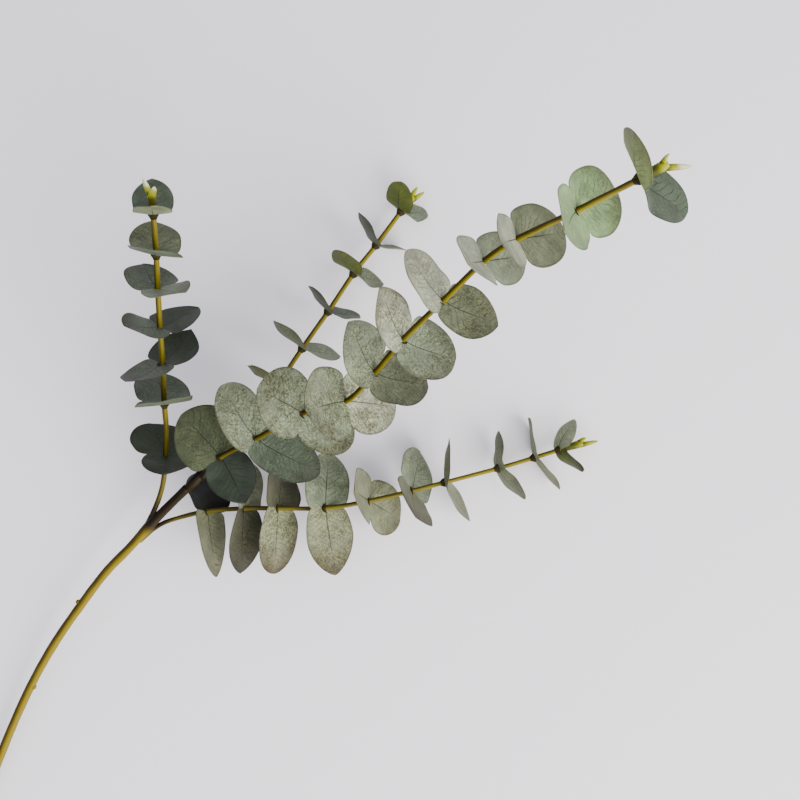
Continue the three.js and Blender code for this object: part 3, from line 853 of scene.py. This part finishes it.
def bud_parts(sprig):
    """A bud: a turned body that swells to BUD_RADIUS and closes in by BUD_MOUTH at its mouth,
    and its prongs. A prong is a tube of radius PRONG_RADIUS x (1 - 0.998 x^2.4)^0.6 +
    PRONG_TIP, flattened towards the bud's middle, whose spine bows inwards by PRONG_BOW x
    its length x (x - x^2). It also returns how pale each point is."""
    end, tangent = along_route(sprig["route"], np.array(1.0))
    foot = end - BUD_SEAT * tangent
    size = sprig["bud_length"]
    share = np.linspace(0, 1, BUD_RINGS)
    neck = sprig["radius"] + COLLAR_WALL
    profile = neck + (BUD_RADIUS - neck) * smoothstep(share, 0.05, 0.7)
    profile = profile - BUD_MOUTH * smoothstep(share, 0.8, 1.0)
    centres = foot + share[:, None] * size * tangent
    parts = [tube(centres, tangent, profile, BUD_SIDES)]
    pale = [np.concatenate([np.repeat(0.6 * smoothstep(share, 0.35, 1.0), BUD_SIDES), [0, 0.9]])]
    for turn, spread, length in sprig["prongs"]:
        lean = math.radians(spread)
        out = outward(tangent, turn)
        along = math.cos(lean) * tangent + math.sin(lean) * out
        root = foot + (size - PRONG_ROOT) * tangent + PRONG_OFFSET * out
        x = np.linspace(0, 1, PRONG_RINGS)
        full = length + PRONG_ROOT
        spine = root + x[:, None] * full * along + PRONG_BOW * full * (x * x - x)[:, None] * out
        angle = np.linspace(0, 2 * np.pi, PRONG_SIDES, endpoint=False)
        inner = 0.5 - 0.5 * np.cos(angle - math.radians(turn))
        wide = PRONG_RADIUS * (1 - 0.998 * x ** 2.4) ** 0.6 + PRONG_TIP
        rings = wide[:, None] * (1 - 0.3 * inner)[None, :]
        parts.append(tube(spine, along, rings, PRONG_SIDES))
        tint = smoothstep(x, 0.0, 0.7)[:, None] * (0.65 + 0.35 * inner)[None, :]
        pale.append(np.concatenate([tint.ravel(), [0, 1]]))
    verts, faces = combine(parts)
    return verts, faces, np.concatenate(pale)


class LeafSettings(bpy.types.PropertyGroup):
    """Sizes of the leaves."""

    thickness: FloatProperty(name="Thickness", description="Blade thickness at the midrib, in mm",
                             default=0.6, min=0.2, max=1.0)
    ripple: FloatProperty(name="Ripple", description="Height of the waves along the rim, in mm",
                          default=0.5, min=0.0, max=3.0)
    vein_spacing: FloatProperty(name="Vein spacing", description="Distance between side veins, in mm",
                                default=4.2, min=1.0, max=10.0)
    freckle_size: FloatProperty(name="Freckle size", description="Size of the freckles' pattern, in mm",
                                default=2.7, min=0.3, max=8.0)


class StemSettings(bpy.types.PropertyGroup):
    """Sizes of the stems."""

    step: FloatProperty(name="Ring step", description="Distance between the rings of a stem, in mm",
                        default=1.6, min=0.5, max=10.0)
    node_swell: FloatProperty(name="Node swelling",
                              description="Share by which a stem swells at a leaf pair",
                              default=0.1, min=0.0, max=1.0, subtype="FACTOR")
    root_swell: FloatProperty(name="Root swelling", description="Share by which a sprig swells at its root",
                              default=0.3, min=0.0, max=1.0, subtype="FACTOR")
    root_age: FloatProperty(name="Root age", description="How old a sprig's bark looks at its root",
                            default=0.6, min=0.0, max=1.0, subtype="FACTOR")


class StageSettings(bpy.types.PropertyGroup):
    """The floor, lights and camera."""

    floor_size: FloatProperty(name="Floor size", description="Side of the square floor",
                              default=6.0, min=1.0, subtype="DISTANCE", unit="LENGTH")
    floor_colour: FloatVectorProperty(name="Floor colour", description="Colour of the floor's paint",
                                      subtype="COLOR", size=3, min=0.0, max=1.0,
                                      default=linear("#ebe8ef")[:3])
    focal_length: FloatProperty(name="Focal length", description="The camera lens, in mm on a 36 mm sensor",
                                default=52.2, min=10.0, max=200.0, subtype="DISTANCE_CAMERA")
    key_power: FloatProperty(name="Key light", description="Power of the soft light from the right",
                             default=158.0, min=0.0, subtype="POWER", unit="POWER")
    fill_power: FloatProperty(name="Fill light", description="Power of the light overhead",
                              default=26.0, min=0.0, subtype="POWER", unit="POWER")
    surround: FloatProperty(name="Surround", description="Strength of the even light from all round",
                            default=0.92, min=0.0)


class BRANCH_OT_main_stem(bpy.types.Operator):
    """Make the bare main stem with its forks and its cut end"""

    bl_idname = "branch.main_stem"
    bl_label = "Main Stem"

    def execute(self, context):
        settings = context.scene.branch_stems
        bumps = [(FORK_AT, FORK_SWELL, FORK_WIDTH)]
        verts, faces, ring = stem_parts(MAIN_ROUTE, STEM_RADIUS, settings.step, bumps, STEM_SIDES)
        cut = slice(len(faces) - 2 * STEM_SIDES, len(faces) - STEM_SIDES)
        parts = [(verts, faces), knuckle(*FORK_KNUCKLE)] + [stub(*row) for row in STUBS]
        joined, all_faces = combine(parts)
        # Bark colours: painted shaded side, then painted lit side.
        bark = stem_material("smooth_brown_bark", "#372a02", "#6f6006", 0.45)
        wood = cut_wood_material((verts[-2] - ORIGIN) * MM)
        piece = add_piece("main_stem_bark", joined, all_faces, [bark, wood], "main_stem")
        finish_stem(piece, np.vstack([ring, np.zeros((len(joined) - len(verts), 2))]), 0.0)
        end_ring = np.zeros(len(joined), int)
        end_ring[:STEM_SIDES] = 1
        set_sharp(piece.data, end_ring)
        slots = np.zeros(len(all_faces), np.int32)
        slots[cut] = 1
        piece.data.polygons.foreach_set("material_index", slots)
        piece.data.update()
        return {"FINISHED"}


class BRANCH_OT_sprig_stems(bpy.types.Operator):
    """Make the four slender stems that carry the leaves"""

    bl_idname = "branch.sprig_stems"
    bl_label = "Sprig Stems"

    def execute(self, context):
        settings = context.scene.branch_stems
        # Shoot colours: painted shaded side, then painted lit side.
        shoot = stem_material("smooth_green_shoot", "#393000", "#736909", 0.42)
        for name, sprig in SPRIGS.items():
            last = len(sprig["route"]) - 1
            bumps = [(pair[0] / last, settings.node_swell, NODE_WIDTH) for pair in sprig["pairs"]]
            bumps.append((0.0, settings.root_swell, ROOT_WIDTH))
            route, radius = sprig["route"], sprig["radius"]
            verts, faces, ring = stem_parts(route, radius, settings.step, bumps, SPRIG_SIDES)
            piece = add_piece(f"{name}_shoot", verts, faces, [shoot], f"{name}_sprig_stem")
            finish_stem(piece, ring, settings.root_age)
        return {"FINISHED"}


class BRANCH_OT_leaf_pairs(bpy.types.Operator):
    """Make every pair of leaves, with its collar"""

    bl_idname = "branch.leaf_pairs"
    bl_label = "Leaf Pairs"

    def execute(self, context):
        settings = context.scene.branch_leaves
        waxy = waxy_leaf_material(settings)
        woody = collar_material()
        for name, sprig in SPRIGS.items():
            for number, (pair, looks) in enumerate(zip(sprig["pairs"], LOOKS[name], strict=True), 1):
                self.leaf_pair(name, sprig, number, pair, looks, settings, [waxy, woody])
        return {"FINISHED"}

    def leaf_pair(self, name, sprig, number, pair, looks, settings, materials):
        """One pair: its blade, then its collar, in one mesh."""
        node, tangent = along_route(sprig["route"], np.array(pair[0] / (len(sprig["route"]) - 1)))
        seed = PAIR_PHASE * (number + 3 * len(name))
        made = blade(node, tangent, pair, settings.thickness, settings.ripple, seed)
        seat, seat_faces = collar(node, tangent, sprig["radius"])
        verts, faces = combine([(made["verts"], made["faces"]), (seat, seat_faces)])
        piece = add_piece(f"{name}_leaves_{number}", verts, faces, materials,
                          f"{name}_leaf_pair_{number}")
        mesh = piece.data
        blank = np.zeros((len(seat), 2))
        set_uv(mesh, "leaf_mm", np.vstack([made["sizes"], blank]))
        set_uv(mesh, "leaf_share", np.vstack([made["share"], blank]))
        tones = np.array([[linear(code) for code in TONES[look[0]]] for look in looks])
        which = made["leaf_b"].astype(int)
        colours = tones[which, np.where(made["upper"], 0, 1)]
        marks = np.array([look[1:] for look in looks])[which]
        set_colour(mesh, "tone", np.vstack([colours, np.ones((len(seat), 4))]))
        set_scalar(mesh, "speckle", np.concatenate([marks[:, 0], np.zeros(len(seat))]))
        set_scalar(mesh, "dusk", np.concatenate([marks[:, 1], np.zeros(len(seat))]))
        set_sharp(mesh, np.concatenate([made["rim"], np.zeros(len(seat), int)]))
        slots = np.zeros(len(mesh.polygons), np.int32)
        slots[len(made["faces"]):] = 1
        mesh.polygons.foreach_set("material_index", slots)
        mesh.update()


class BRANCH_OT_buds(bpy.types.Operator):
    """Make the forked bud at the tip of each sprig"""

    bl_idname = "branch.buds"
    bl_label = "Buds"

    def execute(self, context):
        material = bud_material()
        for name, sprig in SPRIGS.items():
            verts, faces, pale = bud_parts(sprig)
            piece = add_piece(f"{name}_bud_scales", verts, faces, [material], f"{name}_bud")
            set_scalar(piece.data, "pale", pale * LIP_PALENESS[name])
        return {"FINISHED"}


class BRANCH_OT_stage(bpy.types.Operator):
    """Make the floor, the soft studio lights and the camera over the branch"""

    bl_idname = "branch.stage"
    bl_label = "Stage"

    def execute(self, context):
        settings = context.scene.branch_stage
        self.floor(settings)
        eye = (np.array([0.0, 0.0, EYE_HEIGHT]) - ORIGIN) * MM
        self.camera(context, settings, eye)
        self.light("key", (1.4, -1.2, 1.1), (0.3, -0.25, 0.05), 2.6, settings.key_power, "#fffaf2")
        self.light("fill", (-0.4, -0.2, 2.6), (0.0, 0.0, 0.0), 2.6, settings.fill_power, "#f2f5ff")
        world = bpy.data.worlds.new("soft_surround")
        world.use_nodes = True
        world.node_tree.nodes["Background"].inputs["Color"].default_value = linear("#e9e9f2")
        world.node_tree.nodes["Background"].inputs["Strength"].default_value = settings.surround
        context.scene.world = world
        return {"FINISHED"}

    def floor(self, settings):
        """A flat square at the height of the table, Z = 0."""
        half = 0.5 * settings.floor_size
        corners = [(-half, -half, 0), (half, -half, 0), (half, half, 0), (-half, half, 0)]
        mesh = bpy.data.meshes.new("floor")
        mesh.from_pydata(corners, [], [(0, 1, 2, 3)])
        mesh.materials.append(floor_material(settings))
        floor = bpy.data.objects.new("floor", mesh)
        bpy.context.scene.collection.objects.link(floor)

    def camera(self, context, settings, eye):
        """The camera straight over the layout's middle, looking down, with +Y up."""
        data = bpy.data.cameras.new("camera")
        data.lens = settings.focal_length
        data.sensor_width = 36.0
        camera = bpy.data.objects.new("camera", data)
        camera.location = eye
        context.scene.collection.objects.link(camera)
        context.scene.camera = camera

    def light(self, name, place, target, size, power, colour):
        """A square soft light at a place, facing the target."""
        data = bpy.data.lights.new(name, "AREA")
        data.size = size
        data.energy = power
        data.color = linear(colour)[:3]
        lamp = bpy.data.objects.new(name, data)
        lamp.location = place
        away = np.array(place) - np.array(target)
        lamp.rotation_euler = (math.atan2(math.hypot(away[0], away[1]), away[2]), 0,
                               math.atan2(away[1], away[0]) + math.pi / 2)
        bpy.context.scene.collection.objects.link(lamp)


class BRANCH_PT_sidebar(bpy.types.Panel):
    """The branch's sizes, colours and steps"""

    bl_label = "Eucalyptus Branch"
    bl_idname = "BRANCH_PT_sidebar"
    bl_space_type = "VIEW_3D"
    bl_region_type = "UI"
    bl_category = "Branch"

    def draw(self, context):
        scene = context.scene
        for group in (scene.branch_leaves, scene.branch_stems, scene.branch_stage):
            box = self.layout.box()
            for key in group.bl_rna.properties.keys():
                if key not in ("rna_type", "name"):
                    box.prop(group, key)
        for operator in OPERATORS:
            self.layout.operator(operator.bl_idname)


OPERATORS = (
    BRANCH_OT_stage,
    BRANCH_OT_main_stem,
    BRANCH_OT_sprig_stems,
    BRANCH_OT_leaf_pairs,
    BRANCH_OT_buds,
)
CLASSES = (LeafSettings, StemSettings, StageSettings) + OPERATORS + (BRANCH_PT_sidebar,)


def register():
    for cls in CLASSES:
        bpy.utils.register_class(cls)
    bpy.types.Scene.branch_leaves = PointerProperty(type=LeafSettings)
    bpy.types.Scene.branch_stems = PointerProperty(type=StemSettings)
    bpy.types.Scene.branch_stage = PointerProperty(type=StageSettings)


def unregister():
    del bpy.types.Scene.branch_stage
    del bpy.types.Scene.branch_stems
    del bpy.types.Scene.branch_leaves
    for cls in reversed(CLASSES):
        bpy.utils.unregister_class(cls)


def main():
    register()
    bpy.ops.branch.stage()
    bpy.ops.branch.main_stem()
    bpy.ops.branch.sprig_stems()
    bpy.ops.branch.leaf_pairs()
    bpy.ops.branch.buds()
    bpy.context.view_layer.update()


if __name__ == "__main__":
    main()
